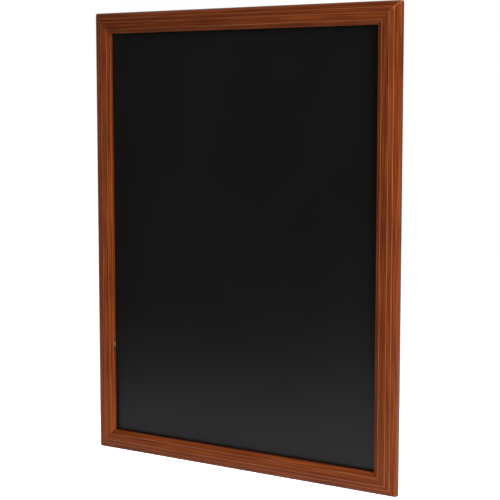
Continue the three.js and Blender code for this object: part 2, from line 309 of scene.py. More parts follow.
def moulding_tree():
    """Sweeps the section along a member, closes it at the two mitres and eases its corners."""
    tree = new_shape_tree("mitred_moulding", [
        ("Section", "Object"), ("Cutters", "Object"), ("Length", "Float"), ("Stations", "Int"),
        ("End Crowding", "Float"), ("Corner Radius", "Float"), ("Joint Groove", "Float"),
        ("Joint Groove Width", "Float"), ("Mitre Gap", "Float"), ("Timber Place", "Vector"),
        ("Painted Light At Start", "Float"), ("Painted Light At End", "Float"), ("Arris Highlight And Wear", "Float"),
        ("Mitre Highlight And Wear Side", "Float"), ("Mitre Highlight And Wear Reach", "Float"), ("Finish", "Material"),
    ])
    sizes = add(tree, "NodeGroupInput").outputs
    section = add(tree, "GeometryNodeObjectInfo", {"Object": sizes["Section"]})
    outline = add(tree, "GeometryNodeMeshToCurve", {"Mesh": section.outputs["Geometry"]})
    line = add(tree, "GeometryNodeCurvePrimitiveLine", {"Start": (-1, 0, 0), "End": (1, 0, 0)})
    path = add(tree, "GeometryNodeResampleCurve",
               {"Curve": line.outputs["Curve"], "Count": sizes["Stations"]})
    place = add(tree, "GeometryNodeInputPosition").outputs["Position"]
    along = add(tree, "ShaderNodeSeparateXYZ", {0: place}).outputs["X"]

    def marked(shape, label, value, **settings):
        return add(tree, "GeometryNodeStoreNamedAttribute", {
            "Geometry": shape, "Name": label, "Value": value}, **settings).outputs["Geometry"]

    def stored(label):
        return add(tree, "GeometryNodeInputNamedAttribute", {"Name": label}).outputs["Attribute"]

    swept = add(tree, "GeometryNodeCurveToMesh", {
        "Curve": marked(path.outputs["Curve"], "station", along),
        "Profile Curve": outline.outputs["Curve"], "Fill Caps": True}).outputs["Mesh"]
    station, inward, forward = stored("station"), stored("inward"), stored("forward")
    end = reckon(tree, "SIGN", station)
    from_end = reckon(tree, "SUBTRACT", 1.0, reckon(tree, "ABSOLUTE", station))
    crowded = reckon(tree, "SUBTRACT", 1.0, reckon(tree, "POWER", from_end, sizes["End Crowding"]))
    half = reckon(tree, "SUBTRACT", reckon(tree, "DIVIDE", sizes["Length"], 2.0),
                  reckon(tree, "ADD", inward, sizes["Mitre Gap"]))
    to_mitre = reckon(tree, "SUBTRACT", half, reckon(tree, "MULTIPLY", half, crowded))
    radius = reckon(tree, "MAXIMUM",
                    reckon(tree, "SUBTRACT", sizes["Corner Radius"], inward), LEAST_RADIUS * MM)
    share = reckon(tree, "MAXIMUM",
                   reckon(tree, "SUBTRACT", 1.0, reckon(tree, "DIVIDE", to_mitre, radius)), 0.0)
    angle = reckon(tree, "MULTIPLY", share, math.pi / 4)
    across = reckon(tree, "MULTIPLY", radius,
                    reckon(tree, "SUBTRACT", 1.0, reckon(tree, "SINE", angle)))
    drawn_in = reckon(tree, "MULTIPLY", radius,
                      reckon(tree, "SUBTRACT", 1.0, reckon(tree, "COSINE", angle)))
    eased = reckon(tree, "MAXIMUM", to_mitre, across)
    length_place = reckon(tree, "MULTIPLY", end, reckon(tree, "SUBTRACT", half, eased))
    inward_place = reckon(tree, "ADD", inward, drawn_in)
    by_joint = reckon(tree, "MAXIMUM", reckon(
        tree, "SUBTRACT", 1.0, reckon(tree, "DIVIDE", eased, sizes["Joint Groove Width"])), 0.0)
    groove = reckon(tree, "MULTIPLY", reckon(tree, "MULTIPLY", by_joint, by_joint),
                    reckon(tree, "MULTIPLY", stored("show"), sizes["Joint Groove"]))
    forward_place = reckon(tree, "SUBTRACT", forward, groove)
    moved = add(tree, "ShaderNodeCombineXYZ", {
        "X": length_place, "Y": reckon(tree, "MULTIPLY", forward_place, -1.0),
        "Z": reckon(tree, "MULTIPLY", inward_place, -1.0)}).outputs[0]
    timber = add(tree, "ShaderNodeVectorMath", {0: moved, 1: sizes["Timber Place"]})
    shape = marked(swept, "timber", timber.outputs[0], data_type="FLOAT_VECTOR")
    shape = marked(shape, "joint", eased)
    # Painted light and shade along the member: a colour factor from one end to the other.
    stain = add(tree, "ShaderNodeMapRange", {
        "Value": reckon(tree, "DIVIDE", length_place, sizes["Length"]), "From Min": -0.5,
        "From Max": 0.5, "To Min": sizes["Painted Light At Start"], "To Max": sizes["Painted Light At End"]})
    shape = marked(shape, "stain", stain.outputs["Result"])
    arris = reckon(tree, "MULTIPLY", stored("arris"), sizes["Arris Highlight And Wear"])
    shape = marked(shape, "arris", arris)
    # A painted highlight, with wear, on the outer part of one end's mitre.
    highlight_wear_end = reckon(tree, "MAXIMUM", reckon(tree, "MULTIPLY", end, sizes["Mitre Highlight And Wear Side"]), 0.0)
    on_edge = reckon(tree, "SUBTRACT", 1.0, reckon(
        tree, "DIVIDE",
        reckon(tree, "ADD", eased, reckon(tree, "MULTIPLY", inward, MITRE_HIGHLIGHT_WEAR_SLANT)),
        sizes["Mitre Highlight And Wear Reach"]))
    mitre_highlight_wear = reckon(tree, "MULTIPLY", highlight_wear_end, reckon(tree, "MAXIMUM", on_edge, 0.0))
    shape = marked(shape, "worn_mitre", mitre_highlight_wear)
    shape = add(tree, "GeometryNodeSetPosition", {"Geometry": shape, "Position": moved})
    cutters = add(tree, "GeometryNodeObjectInfo", {"Object": sizes["Cutters"]})
    cut = add(tree, "GeometryNodeMeshBoolean", {
        0: shape.outputs["Geometry"], 1: cutters.outputs["Geometry"]},
        operation="DIFFERENCE", solver="MANIFOLD")
    close_shape_tree(tree, cut.outputs["Mesh"], sizes["Finish"])
    return tree


def new_finish(name):
    """A node material, its tree and its main shader."""
    finish = bpy.data.materials.new(name)
    finish.use_nodes = True
    return finish, finish.node_tree, finish.node_tree.nodes["Principled BSDF"]


def noise(tree, place, scale, detail, **more):
    """Noise over a surface, most of it between 0.3 and 0.7."""
    return add(tree, "ShaderNodeTexNoise", {
        "Vector": place, "Scale": scale, "Detail": detail, **more}).outputs["Fac"]


def between(tree, value, low, high, to_low=0.0, to_high=1.0):
    """A value spread from one range to another, and held at its ends."""
    return add(tree, "ShaderNodeMapRange", {
        "Value": value, "From Min": low, "From Max": high, "To Min": to_low,
        "To Max": to_high}).outputs["Result"]


def blended(tree, share, first, second, **settings):
    """Two colours mixed by a share of the second."""
    return add(tree, "ShaderNodeMix", {0: share, 6: first, 7: second},
               data_type="RGBA", **settings).outputs[2]


def feed(tree, shader, colour, roughness=None):
    """Joins what varies over the surface to the shader."""
    tree.links.new(colour, shader.inputs["Base Color"])
    if roughness is not None:
        tree.links.new(roughness, shader.inputs["Roughness"])


def emboss(tree, shader, height, strength, distance):
    """A fine relief, at a share of its full height, which is in metres."""
    bump = add(tree, "ShaderNodeBump", {
        "Strength": strength, "Distance": distance, "Height": height})
    tree.links.new(bump.outputs["Normal"], shader.inputs["Normal"])


def lacquered_wood():
    """Stained satin-lacquered timber: streaks along it, painted highlight and wear on arrises,
    painted shade and filler in coves.
    """
    finish, tree, shader = new_finish("lacquered_wood")

    def stored(label):
        return add(tree, "ShaderNodeAttribute", attribute_name=label).outputs

    timber = stored("timber")["Vector"]

    def streaks(scale, detail, distortion=0.0):
        stretched = add(tree, "ShaderNodeMapping", {"Vector": timber, "Scale": scale}).outputs[0]
        return noise(tree, stretched, 1.0, detail, Distortion=distortion)

    bands = streaks(BANDS, 2.0, 0.4)
    fibre = streaks(FIBRE, 4.0)
    pores = streaks(PORES, 2.0)
    clouds = streaks(CLOUDS, 1.0)
    tone = reckon(tree, "ADD", reckon(tree, "MULTIPLY", bands, 0.28),
                  reckon(tree, "MULTIPLY", fibre, 0.72))
    tone = reckon(tree, "ADD", tone, between(tree, clouds, 0.3, 0.7, -0.03, 0.03))
    colour = blended(tree, between(tree, tone, 0.375, 0.5), STAIN_DARK, STAIN_MIDDLE)
    colour = blended(tree, between(tree, tone, 0.5, 0.625), colour, STAIN_LIGHT)
    colour = blended(tree, between(tree, pores, 0.6, 0.7, 0.0, 0.42), colour, STAIN_DARK)
    # Painted light and shade from end to end, darker towards the top and left of the frame.
    colour = blended(tree, 1.0, colour, stored("stain")["Color"], blend_type="MULTIPLY")
    # Painted shade, with dark filler, in the coves at the risers' feet.
    cove_filler_and_shade = reckon(tree, "MULTIPLY", stored("cove")["Fac"],
                    between(tree, streaks(COVE_BREAKUP, 2.0), 0.3, 0.7, 0.35, 0.8))
    colour = blended(tree, cove_filler_and_shade, colour, DARK_FILLER_AND_COVE_SHADE)
    # Painted highlight, with wear, along the arrises.
    highlight_and_rub = reckon(tree, "MULTIPLY", stored("arris")["Fac"],
                    between(tree, streaks(ARRIS_BREAKUP, 3.0), 0.38, 0.62, 0.6, 1.0))
    highlight_and_rub = reckon(tree, "MULTIPLY", highlight_and_rub,
                    between(tree, stored("stain")["Fac"], 0.68, 0.95, 0.4, 1.0))
    colour = blended(tree, highlight_and_rub, colour, ARRIS_HIGHLIGHT_AND_WEAR)
    # Painted shade, with stain, on the lip's inner face.
    colour = blended(tree, stored("lip")["Fac"], colour, LIP_SHADE_AND_STAIN)
    joint_line = between(tree, stored("joint")["Fac"], 0.0, JOINT_GROOVE_WIDTH * MM, 0.45, 0.0)
    colour = blended(tree, joint_line, colour, DARK_FILLER_AND_COVE_SHADE)
    # Painted highlight, with wear, on the outer part of one mitre.
    highlight_and_knocks = reckon(tree, "MULTIPLY", stored("worn_mitre")["Fac"],
                     between(tree, streaks(MITRE_BREAKUP, 3.0), 0.42, 0.6, 0.1, 1.2))
    colour = blended(tree, highlight_and_knocks, colour, ARRIS_HIGHLIGHT_AND_WEAR)
    behind = between(tree, stored("forward")["Fac"], *(edge * MM for edge in BACK_STAIN_EDGE))
    unstained = reckon(tree, "MULTIPLY", behind, between(tree, fibre, 0.35, 0.65, 0.45, 1.0))
    colour = blended(tree, unstained, colour, BACK_WOOD)
    colour = blended(tree, stored("bare")["Fac"], colour, BARE_WOOD)
    rough = reckon(tree, "ADD", between(tree, fibre, 0.3, 0.7, 0.4, 0.5),
                   reckon(tree, "MULTIPLY", behind, 0.3))
    feed(tree, shader, colour, rough)
    relief = reckon(tree, "SUBTRACT", reckon(tree, "MULTIPLY", fibre, 0.6),
                    between(tree, pores, 0.58, 0.7, 0.0, 0.5))
    emboss(tree, shader, relief, 0.35, GRAIN_DEPTH * MM)
    shader.inputs["Specular IOR Level"].default_value = LACQUER_SPECULAR
    return finish


def corner_ring(edit, points):
    """New corners in a mesh edit, at points given in millimetres."""
    return [edit.verts.new((x * MM, y * MM, z * MM)) for x, y, z in points]


def close_block(edit, low, high):
    """The faces of a closed block: its two ends and the sides between them."""
    edit.faces.new(low)
    edit.faces.new(high[::-1])
    for index in range(len(low)):
        after = (index + 1) % len(low)
        edit.faces.new((low[after], low[index], high[index], high[after]))


def prism(edit, points, low, high):
    """A closed block in a mesh edit: an outline in X and Z, thick along Y."""
    close_block(edit, *[corner_ring(edit, [(x, level, z) for x, z in points])
                        for level in (low, high)])


def closed_mesh(name, edit):
    """A mesh from an edit, its faces turned outward."""
    bmesh.ops.recalc_face_normals(edit, faces=edit.faces)
    mesh = bpy.data.meshes.new(name)
    edit.to_mesh(mesh)
    edit.free()
    return mesh


# Where the fasteners enter the timber: the nails' and points' slots and the screws' holes.
NAIL_INSETS = (9.0, 21.0)
NAIL_LEG = 6.0
NAIL_THICKNESS = 0.5
NAIL_DEPTH = 8.0
NAIL_HALF_SPREAD = math.radians(50)
NAIL_SET_BACK = 0.3
POINT_WIDTH = 6.0
POINT_THICKNESS = 0.5
POINT_GRIP = 9.0
POINT_REACH = 7.0
POINT_TAPER = 3.0
POINT_FRONT = 2.5
SLOT_CLEARANCE = 0.1
CUTTER_OVERSHOOT = 2.0
SCREW_PILOT = 1.6
SCREW_PITCH = 23.0
SCREW_FROM_EDGE = 21.9583
SCREW_HOLE_END = -11.3
SCREW_HOLE_SIDES = 16


def nail_outline(clearance):
    """A V of steel strip: its ridge on the mitre, its legs opening outward."""
    leg = NAIL_LEG + clearance
    thick = NAIL_THICKNESS / 2 + clearance
    reach = (leg * math.sin(NAIL_HALF_SPREAD), leg * math.cos(NAIL_HALF_SPREAD))
    side = (thick * math.cos(NAIL_HALF_SPREAD), thick * math.sin(NAIL_HALF_SPREAD))
    ridge = thick / math.sin(NAIL_HALF_SPREAD)
    return [
        (0, -ridge), (reach[0] + side[0], reach[1] - side[1]),
        (reach[0] - side[0], reach[1] + side[1]), (0, ridge),
        (-reach[0] + side[0], reach[1] + side[1]), (-reach[0] - side[0], reach[1] - side[1]),
    ]


def point_outline(clearance):
    """A flat tab: its pointed end in the rebate's wall, its square end over the panel."""
    half = POINT_WIDTH / 2 + clearance
    root = -REBATE_WALL
    tip = root + POINT_GRIP + clearance
    return [(-half, root - POINT_REACH), (half, root - POINT_REACH),
            (half, tip - POINT_TAPER), (0, tip), (-half, tip - POINT_TAPER)]


def member_cutters(name, length, point_places, screw_holes, break_lip):
    """All that is cut out of one member, as one closed mesh in the member's own place."""
    edit = bmesh.new()
    for end in (-1, 1):
        turn = Matrix.Rotation(-end * math.pi / 4, 2)
        for inset in NAIL_INSETS:
            outline = []
            for x, z in nail_outline(SLOT_CLEARANCE):
                spot = turn @ Vector((x, z))
                outline.append((spot.x + end * (length / 2 - inset), spot.y - inset))
            prism(edit, outline, -NAIL_DEPTH - SLOT_CLEARANCE, CUTTER_OVERSHOOT)
    for place in point_places:
        outline = [(x + place, z) for x, z in point_outline(SLOT_CLEARANCE)]
        prism(edit, outline, -POINT_FRONT - SLOT_CLEARANCE,
              -POINT_FRONT + POINT_THICKNESS + SLOT_CLEARANCE)
    for place in screw_holes:
        outline = arc_points((place, -SCREW_FROM_EDGE), (SCREW_PILOT, SCREW_PILOT), 0, 360,
                             SCREW_HOLE_SIDES)
        prism(edit, outline[:-1], SCREW_HOLE_END, CUTTER_OVERSHOOT)
    if break_lip:
        break_lip(edit)
    cutters = put_in_scene(name, closed_mesh(name, edit))
    notched = [in_lip_notch(vertex.co) for vertex in cutters.data.vertices]
    for label, in_notch, elsewhere in (("bare", 0.0, 1.0), ("cove", NOTCH_DARKENING, 0.0),
                                       ("forward", NOTCH_FORWARD * MM, 0.0)):
        column = cutters.data.attributes.new(label, "FLOAT", "POINT")
        column.data.foreach_set("value", [in_notch if inside else elsewhere for inside in notched])
    return cutters


# Where the left stile's lip lost a splinter: the pale break and the notch under it.
CHIP_PLACE = -203.0
CHIP_SIZE = (5.8, 1.25, 0.9)
CHIP_FORWARD = 10.3
NOTCH_PLACE = -212.4
NOTCH_SIZE = (4.2, 2.9, 1.5)
NOTCH_FORWARD = 10.2
NOTCH_INWARD = 34.0
NOTCH_MARGIN = 0.1
NOTCH_DARKENING = 2.8
BREAK_SET_IN = 0.1
RIPPLES = ((9.0, 0.0, 0.12), (23.0, 1.0, 0.07))


def in_lip_notch(spot):
    """True for the notch's own points, which are darkened."""
    along = abs(spot.x / MM - NOTCH_PLACE)
    return spot.z < -NOTCH_INWARD * MM and along < NOTCH_SIZE[0] + NOTCH_MARGIN


def splinter_break(edit):
    """Two rippled hollows across the lip's edge."""
    for place, size, forward in ((CHIP_PLACE, CHIP_SIZE, CHIP_FORWARD),
                                 (NOTCH_PLACE, NOTCH_SIZE, NOTCH_FORWARD)):
        for vertex in bmesh.ops.create_icosphere(edit, subdivisions=3, radius=1.0)["verts"]:
            ripple = sum(math.sin(vertex.co.x * rate + start) * depth
                         for rate, start, depth in RIPPLES)
            vertex.co = Vector((
                (vertex.co.x * size[0] + place) * MM,
                (vertex.co.y * (size[1] + ripple) - forward) * MM,
                (vertex.co.z * (size[2] + ripple) - ARRISES[-1][0] - BREAK_SET_IN) * MM,
            ))


outer = {name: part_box(name) for name in ("top_rail", "bottom_rail", "left_stile", "right_stile")}
frame_left = outer["left_stile"][0].x
frame_right = outer["right_stile"][1].x
frame_bottom = outer["bottom_rail"][0].z
frame_top = outer["top_rail"][1].z
back_plane = outer["top_rail"][1].y
frame_middle = Vector(((frame_left + frame_right) / 2, back_plane, (frame_bottom + frame_top) / 2))
frame_width = (frame_right - frame_left) / MM
frame_height = (frame_top - frame_bottom) / MM


def member_place(out_x, out_z):
    """The place of a member: its outer edge's middle, its Z axis pointing out of the frame."""
    edge = frame_middle + Vector((out_x * frame_width / 2, 0, out_z * frame_height / 2)) * MM
    return Matrix.Translation(edge) @ Matrix.Rotation(math.atan2(out_x, out_z), 4, "Y")


def even_places(count, length):
    pitch = (length - 2 * REBATE_WALL) / count
    return [(index + 0.5) * pitch - pitch * count / 2 for index in range(count)]


screw_places = (-SCREW_PITCH / 2, SCREW_PITCH / 2)
rail_points = even_places(3, frame_width)
stile_points = even_places(4, frame_height)
# Each member: which way its outer edge faces, its length, and what is cut into it.
members = (
    ("top_rail", 0, 1, frame_width, rail_points, screw_places, None),
    ("bottom_rail", 0, -1, frame_width, rail_points, (), None),
    ("left_stile", -1, 0, frame_height, stile_points, screw_places, splinter_break),
    ("right_stile", 1, 0, frame_height, stile_points, (), None),
)
# Each member's own timber: where it was cut from, its painted light and shade from end to end, how
# strong its arrises' painted highlight and wear are, and at which end its mitre has a painted
# highlight with wear.
timbers = {
    "top_rail": ((13.57, 0.56, 0.924), (0.68, 1.02), 0.75, 1),
    "bottom_rail": ((5.69, 0.739, 0.94), (1.22, 1.18), 1.3, 0),
    "left_stile": ((9.57, 0.999, 0.075), (1.51, 0.86), 0.9, 0),
    "right_stile": ((26.0, 0.183, 0.154), (1.0, 1.07), 0.82, -1),
}
wood = lacquered_wood()
section = moulding_section()
mitred_moulding = moulding_tree()
for name, out_x, out_z, length, points, holes, break_lip in members:
    timber_place, (painted_light_at_start, painted_light_at_end), arris_highlight_and_rub, highlight_wear_side = timbers[name]
    cutters = member_cutters(name + "_cutters", length, points, holes, break_lip)
    member = shape_piece(name + "_moulding", mitred_moulding, {
        "Section": section, "Cutters": cutters, "Length": length * MM,
        "Stations": int(length / STATION_PITCH), "End Crowding": END_CROWDING,
        "Corner Radius": CORNER_RADIUS * MM, "Joint Groove": JOINT_GROOVE_DEPTH * MM,
        "Joint Groove Width": JOINT_GROOVE_WIDTH * MM, "Mitre Gap": MITRE_GAP * MM,
        "Timber Place": timber_place, "Painted Light At Start": painted_light_at_start,
        "Painted Light At End": painted_light_at_end, "Arris Highlight And Wear": arris_highlight_and_rub, "Mitre Highlight And Wear Side": highlight_wear_side,
        "Mitre Highlight And Wear Reach": MITRE_HIGHLIGHT_WEAR_REACH * MM, "Finish": wood,
    }, member_place(out_x, out_z))
    bpy.data.objects.remove(cutters)
    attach(member, "board")
    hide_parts(name)
bpy.data.objects.remove(section)

# Writing surface. A thin sheet sprayed with matt black writing lacquer, bonded to the panel
# and pressed against the back of the frame's lip. The lacquer has a fine, even tooth.
LACQUER_BLACK = (0.0062, 0.0060, 0.0058, 1)
LACQUER_DUSTY = (0.0078, 0.0077, 0.0076, 1)


def writing_lacquer():
    """Black lacquer with a little old chalk in its tooth, more of it in patches."""
    finish, tree, shader = new_finish("writing_lacquer")
    spot = add(tree, "ShaderNodeTexCoord").outputs["Object"]
    tooth = noise(tree, spot, 900.0, 3.0)
    dust = between(tree, noise(tree, spot, 4.5, 2.0), 0.35, 0.7)
    feed(tree, shader, blended(tree, dust, LACQUER_BLACK, LACQUER_DUSTY),
         between(tree, tooth, 0.3, 0.7, 0.32, 0.4))
    emboss(tree, shader, tooth, 0.25, 0.00005)
    return finish


def refinish(node, finish):
    """Gives a kept node its finish."""
    frame["nodes"][node].data.materials.clear()
    frame["nodes"][node].data.materials.append(finish)


refinish("chalk_surface", writing_lacquer())

# Panel core. A sheet of brown hardboard behind the writing surface, smooth in front and
# printed with the press's wire screen behind, cut to slip into the rebate.
SCREEN_PITCH = 2.1
HARDBOARD_DARK = (0.105, 0.052, 0.025, 1)
HARDBOARD_LIGHT = (0.235, 0.135, 0.072, 1)


def screened_hardboard():
    """Pressed wood fibre, clouded brown, with the screen's print in relief."""
    finish, tree, shader = new_finish("screened_hardboard")
    spot = add(tree, "ShaderNodeTexCoord").outputs["Object"]
    place = add(tree, "ShaderNodeSeparateXYZ", {0: spot}).outputs
    fibre = noise(tree, spot, 260.0, 6.0, Roughness=0.65)
    cloud = noise(tree, spot, 24.0, 5.0)
    mixed = reckon(tree, "ADD", reckon(tree, "MULTIPLY", fibre, 0.8),
                   reckon(tree, "MULTIPLY", cloud, 0.2))
    feed(tree, shader, blended(tree, between(tree, mixed, 0.38, 0.62),
                               HARDBOARD_DARK, HARDBOARD_LIGHT))
    waves = []
    for axis in ("X", "Z"):
        wave = reckon(tree, "SINE", reckon(
            tree, "MULTIPLY", place[axis], 2 * math.pi / (SCREEN_PITCH * MM)))
        waves.append(reckon(tree, "ABSOLUTE", wave))
    screen = reckon(tree, "MULTIPLY", *waves)
    height = reckon(tree, "ADD", screen, reckon(tree, "MULTIPLY", fibre, 0.5))
    emboss(tree, shader, height, 0.6, 0.00025)
    shader.inputs["Roughness"].default_value = 0.78
    return finish


refinish("panel_core", screened_hardboard())

# Mitre nails. Short V-shaped strips of zinc-plated steel, two to a corner, pressed in from
# behind until they sit a little below the timber's face.
NAIL_EDGE = 0.07
ZINC_GREY = (0.52, 0.53, 0.55, 1)
ZINC_PALE = (0.70, 0.70, 0.69, 1)


def bright_zinc():
    """Zinc-plated steel: pale, a little clouded, with fine drawn scratches."""
    finish, tree, shader = new_finish("bright_zinc")
    spot = add(tree, "ShaderNodeTexCoord").outputs["Object"]
    drawn = add(tree, "ShaderNodeMapping", {"Vector": spot, "Scale": (900, 900, 5200)}).outputs[0]
    cloud = noise(tree, spot, 240.0, 4.0)
    scratch = noise(tree, drawn, 1.0, 3.0)
    feed(tree, shader, blended(tree, between(tree, cloud, 0.35, 0.65), ZINC_GREY, ZINC_PALE),
         between(tree, scratch, 0.3, 0.7, 0.24, 0.42))
    emboss(tree, shader, scratch, 0.2, 0.00003)
    shader.inputs["Metallic"].default_value = 0.95
    return finish


def fastener_tree():
    """Puts one fastener at each marked place, each turned a little by chance."""
    tree = new_shape_tree("fasteners_in_place", [
        ("Fastener", "Object"), ("Places", "Object"), ("Chance Turn", "Float"), ("Seed", "Int"),
        ("Finish", "Material"),
    ])
    sizes = add(tree, "NodeGroupInput").outputs
    one = add(tree, "GeometryNodeObjectInfo", {"Object": sizes["Fastener"]}).outputs["Geometry"]
    places = add(tree, "GeometryNodeObjectInfo", {"Object": sizes["Places"]}).outputs["Geometry"]
    set_turn = add(tree, "GeometryNodeInputNamedAttribute", {"Name": "turn"}).outputs["Attribute"]
    chance = add(tree, "FunctionNodeRandomValue", {
        2: -1.0, 3: 1.0, "Seed": sizes["Seed"]}, data_type="FLOAT").outputs[1]
    turn = reckon(tree, "ADD", set_turn, reckon(tree, "MULTIPLY", chance, sizes["Chance Turn"]))
    facing = add(tree, "ShaderNodeCombineXYZ", {"Y": turn}).outputs[0]
    rotation = add(tree, "FunctionNodeEulerToRotation", {"Euler": facing}).outputs[0]
    set_out = add(tree, "GeometryNodeInstanceOnPoints", {
        "Points": places, "Instance": one, "Rotation": rotation})
    close_shape_tree(tree, set_out.outputs["Instances"], sizes["Finish"])
    return tree


def set_fasteners(name, pattern, places, finish, nodes, chance_turn=0.0, seed=1):
    """Repeats a fastener's mesh at places, each with a turn about Y, as one piece of the board."""
    marks = bpy.data.meshes.new(name + "_marks")
    marks.from_pydata([place for place, turn in places], [], [])
    turns = marks.attributes.new("turn", "FLOAT", "POINT")
    turns.data.foreach_set("value", [turn for place, turn in places])
    marks_piece = put_in_scene(name + "_marks", marks)
    pattern_piece = put_in_scene(name + "_pattern", pattern)
    piece = shape_piece(name, fasteners_in_place, {
        "Fastener": pattern_piece, "Places": marks_piece, "Chance Turn": chance_turn,
        "Seed": seed, "Finish": finish})
    bpy.data.objects.remove(marks_piece)
    bpy.data.objects.remove(pattern_piece)
    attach(piece, "board")
    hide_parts(*nodes)


def eased_edges(edit, width, steps, least_degrees=30):
    """Turns a mesh edit's faces outward and rounds its sharp edges."""
    bmesh.ops.recalc_face_normals(edit, faces=edit.faces)
    sharp = [edge for edge in edit.edges
             if edge.is_manifold and edge.calc_face_angle() > math.radians(least_degrees)]
    bmesh.ops.bevel(edit, geom=sharp, offset=width * MM, segments=steps, profile=0.5,
                    affect="EDGES", clamp_overlap=True)


zinc = bright_zinc()
fasteners_in_place = fastener_tree()
edit = bmesh.new()
prism(edit, nail_outline(0.0), -NAIL_DEPTH, -NAIL_SET_BACK)
eased_edges(edit, NAIL_EDGE, steps=1)
nail_mesh = closed_mesh("mitre_nail", edit)
nail_places, nail_nodes = [], []
for height_name, out_z in (("top", 1), ("bottom", -1)):
    for side_name, out_x in (("left", -1), ("right", 1)):
        for inset_name, inset in zip(("outer", "inner"), NAIL_INSETS):
            corner = Vector((out_x * (frame_width / 2 - inset), 0,
                             out_z * (frame_height / 2 - inset)))
            nail_places.append((frame_middle + corner * MM, math.atan2(out_x, out_z)))
            nail_nodes.append(f"mitre_nail_{height_name}_{side_name}_{inset_name}")
set_fasteners("mitre_nails", nail_mesh, nail_places, zinc, nail_nodes)

# Panel points. Flat steel tabs shot into the rebate's wall just behind the panel, four on
# each stile and three on each rail, which hold the panel against the lip.
POINT_EDGE = 0.09

edit = bmesh.new()
prism(edit, point_outline(0.0), -POINT_FRONT, -POINT_FRONT + POINT_THICKNESS)
eased_edges(edit, POINT_EDGE, steps=2)
point_mesh = closed_mesh("panel_point", edit)
point_places, point_nodes = [], []
for name, out_x, out_z, length, points, *rest in members:
    for number, place in enumerate(points, 1):
        spot = member_place(out_x, out_z) @ Vector((place * MM, 0, 0))
        point_places.append((spot, math.atan2(out_x, out_z)))
        point_nodes.append(f"panel_point_{name}_{number}")
set_fasteners("panel_points", point_mesh, point_places, zinc, point_nodes, seed=4)

# Hanger plates. Pressed steel straps with two screw holes; a tongue at the middle of the
# long side is rolled round the ring's wire into an eye.
HINGE_HEIGHT = 2.4
PLATE_DROP = 6.5
PLATE_SIZE = (34.0, 10.0)
PLATE_CORNER = 3.0
PLATE_BACK = 0.1
PLATE_THICKNESS = 1.0
PLATE_HOLE = 1.7
EYE_BORE = 1.3
EYE_LENGTH = 9.0
EYE_ROLL = (-90, 232)
TONGUE_ROOT = 4.0
TONGUE_SET_IN = 0.01
PLATE_EDGE = 0.18
PLATE_CORNER_STEPS = 8
PLATE_HOLE_SIDES = 24
EYE_STEPS = 36


def plate_outline():
    """A strap with round corners, below the hinge."""
    half_x = PLATE_SIZE[0] / 2 - PLATE_CORNER
    half_z = PLATE_SIZE[1] / 2 - PLATE_CORNER
    outline = []
    for number, (side_x, side_z) in enumerate(((1, 1), (-1, 1), (-1, -1), (1, -1))):
        outline += arc_points((side_x * half_x, side_z * half_z - PLATE_DROP),
                              (PLATE_CORNER, PLATE_CORNER), 90 * number, 90 * number + 90,
                              PLATE_CORNER_STEPS)
    return outline


def flat_with_holes(edit, outline, holes, low, high):
    """A plate with round holes: filled between its loops, then made thick."""
    edges = []
    for loop in [outline] + holes:
        ring = corner_ring(edit, [(x, low, z) for x, z in loop])
        for index, vertex in enumerate(ring):
            edges.append(edit.edges.new((vertex, ring[(index + 1) % len(ring)])))
    cove_filler_and_shade = bmesh.ops.triangle_fill(edit, edges=edges, use_beauty=True)["geom"]
    faces = [item for item in cove_filler_and_shade if isinstance(item, bmesh.types.BMFace)]
    raised = bmesh.ops.extrude_face_region(edit, geom=faces)["geom"]
    for item in raised:
        if isinstance(item, bmesh.types.BMVert):
            item.co.y += (high - low) * MM


def rolled_eye(edit):
    """The tongue: from inside the plate, along the timber, then once round the wire."""
    centre = (0, HINGE_HEIGHT)
    outer = EYE_BORE + PLATE_THICKNESS
    root = -PLATE_DROP + TONGUE_ROOT
    outside = [(root, PLATE_BACK)] + arc_points(centre, (outer, outer), *EYE_ROLL, EYE_STEPS)
    inside = arc_points(centre, (EYE_BORE, EYE_BORE), *EYE_ROLL, EYE_STEPS)
    outline = outside + inside[::-1] + [(root, PLATE_BACK + PLATE_THICKNESS - TONGUE_SET_IN)]
    half = EYE_LENGTH / 2
    close_block(edit, *[corner_ring(edit, [(x, y, z) for z, y in outline]) for x in (-half, half)])


edit = bmesh.new()
hole_loops = [arc_points((place, -PLATE_DROP), (PLATE_HOLE, PLATE_HOLE), 0, 360,
                         PLATE_HOLE_SIDES)[:-1] for place in screw_places]
flat_with_holes(edit, plate_outline(), hole_loops, PLATE_BACK, PLATE_BACK + PLATE_THICKNESS)
rolled_eye(edit)
eased_edges(edit, PLATE_EDGE, steps=3, least_degrees=50)
plate_mesh = closed_mesh("hanger_plate", edit)
hinges = {joint["child"]: Vector(joint["pos_m"]) for joint in frame["joints"]}
plate_places = []
for body, turn in (("top_ring", 0.0), ("side_ring", -math.pi / 2)):
    spot = Vector((hinges[body].x, back_plane, hinges[body].z))
    plate_places.append((spot, turn))
set_fasteners("hanger_plates", plate_mesh, plate_places, zinc,
              ["hanger_plate_top", "hanger_plate_side"])

# Hanger screws. Zinc-plated pan-head wood screws with a cross recess, two to a plate; each
# stopped at its own angle when it was tight.
SCREW_SEAT = 1.2
SCREW_RADIUS = 1.5
SCREW_LENGTH = 12.0
SCREW_TIP = 3.0
SCREW_HEAD = (2.8, 1.9)
RECESS_LENGTH = 3.2
RECESS_WIDTH = 0.75
RECESS_DEPTH = 1.15
RECESS_FLOOR_SHARE = 0.35
RECESS_TAPER = 0.4
RECESS_OVERSHOOT = 0.5
HEAD_UNDER_EDGE = 0.25
HEAD_RIM = (0.05, 0.08)
CROWN_START = 0.2
CROWN_STEPS = 12
SCREW_SIDES = 32


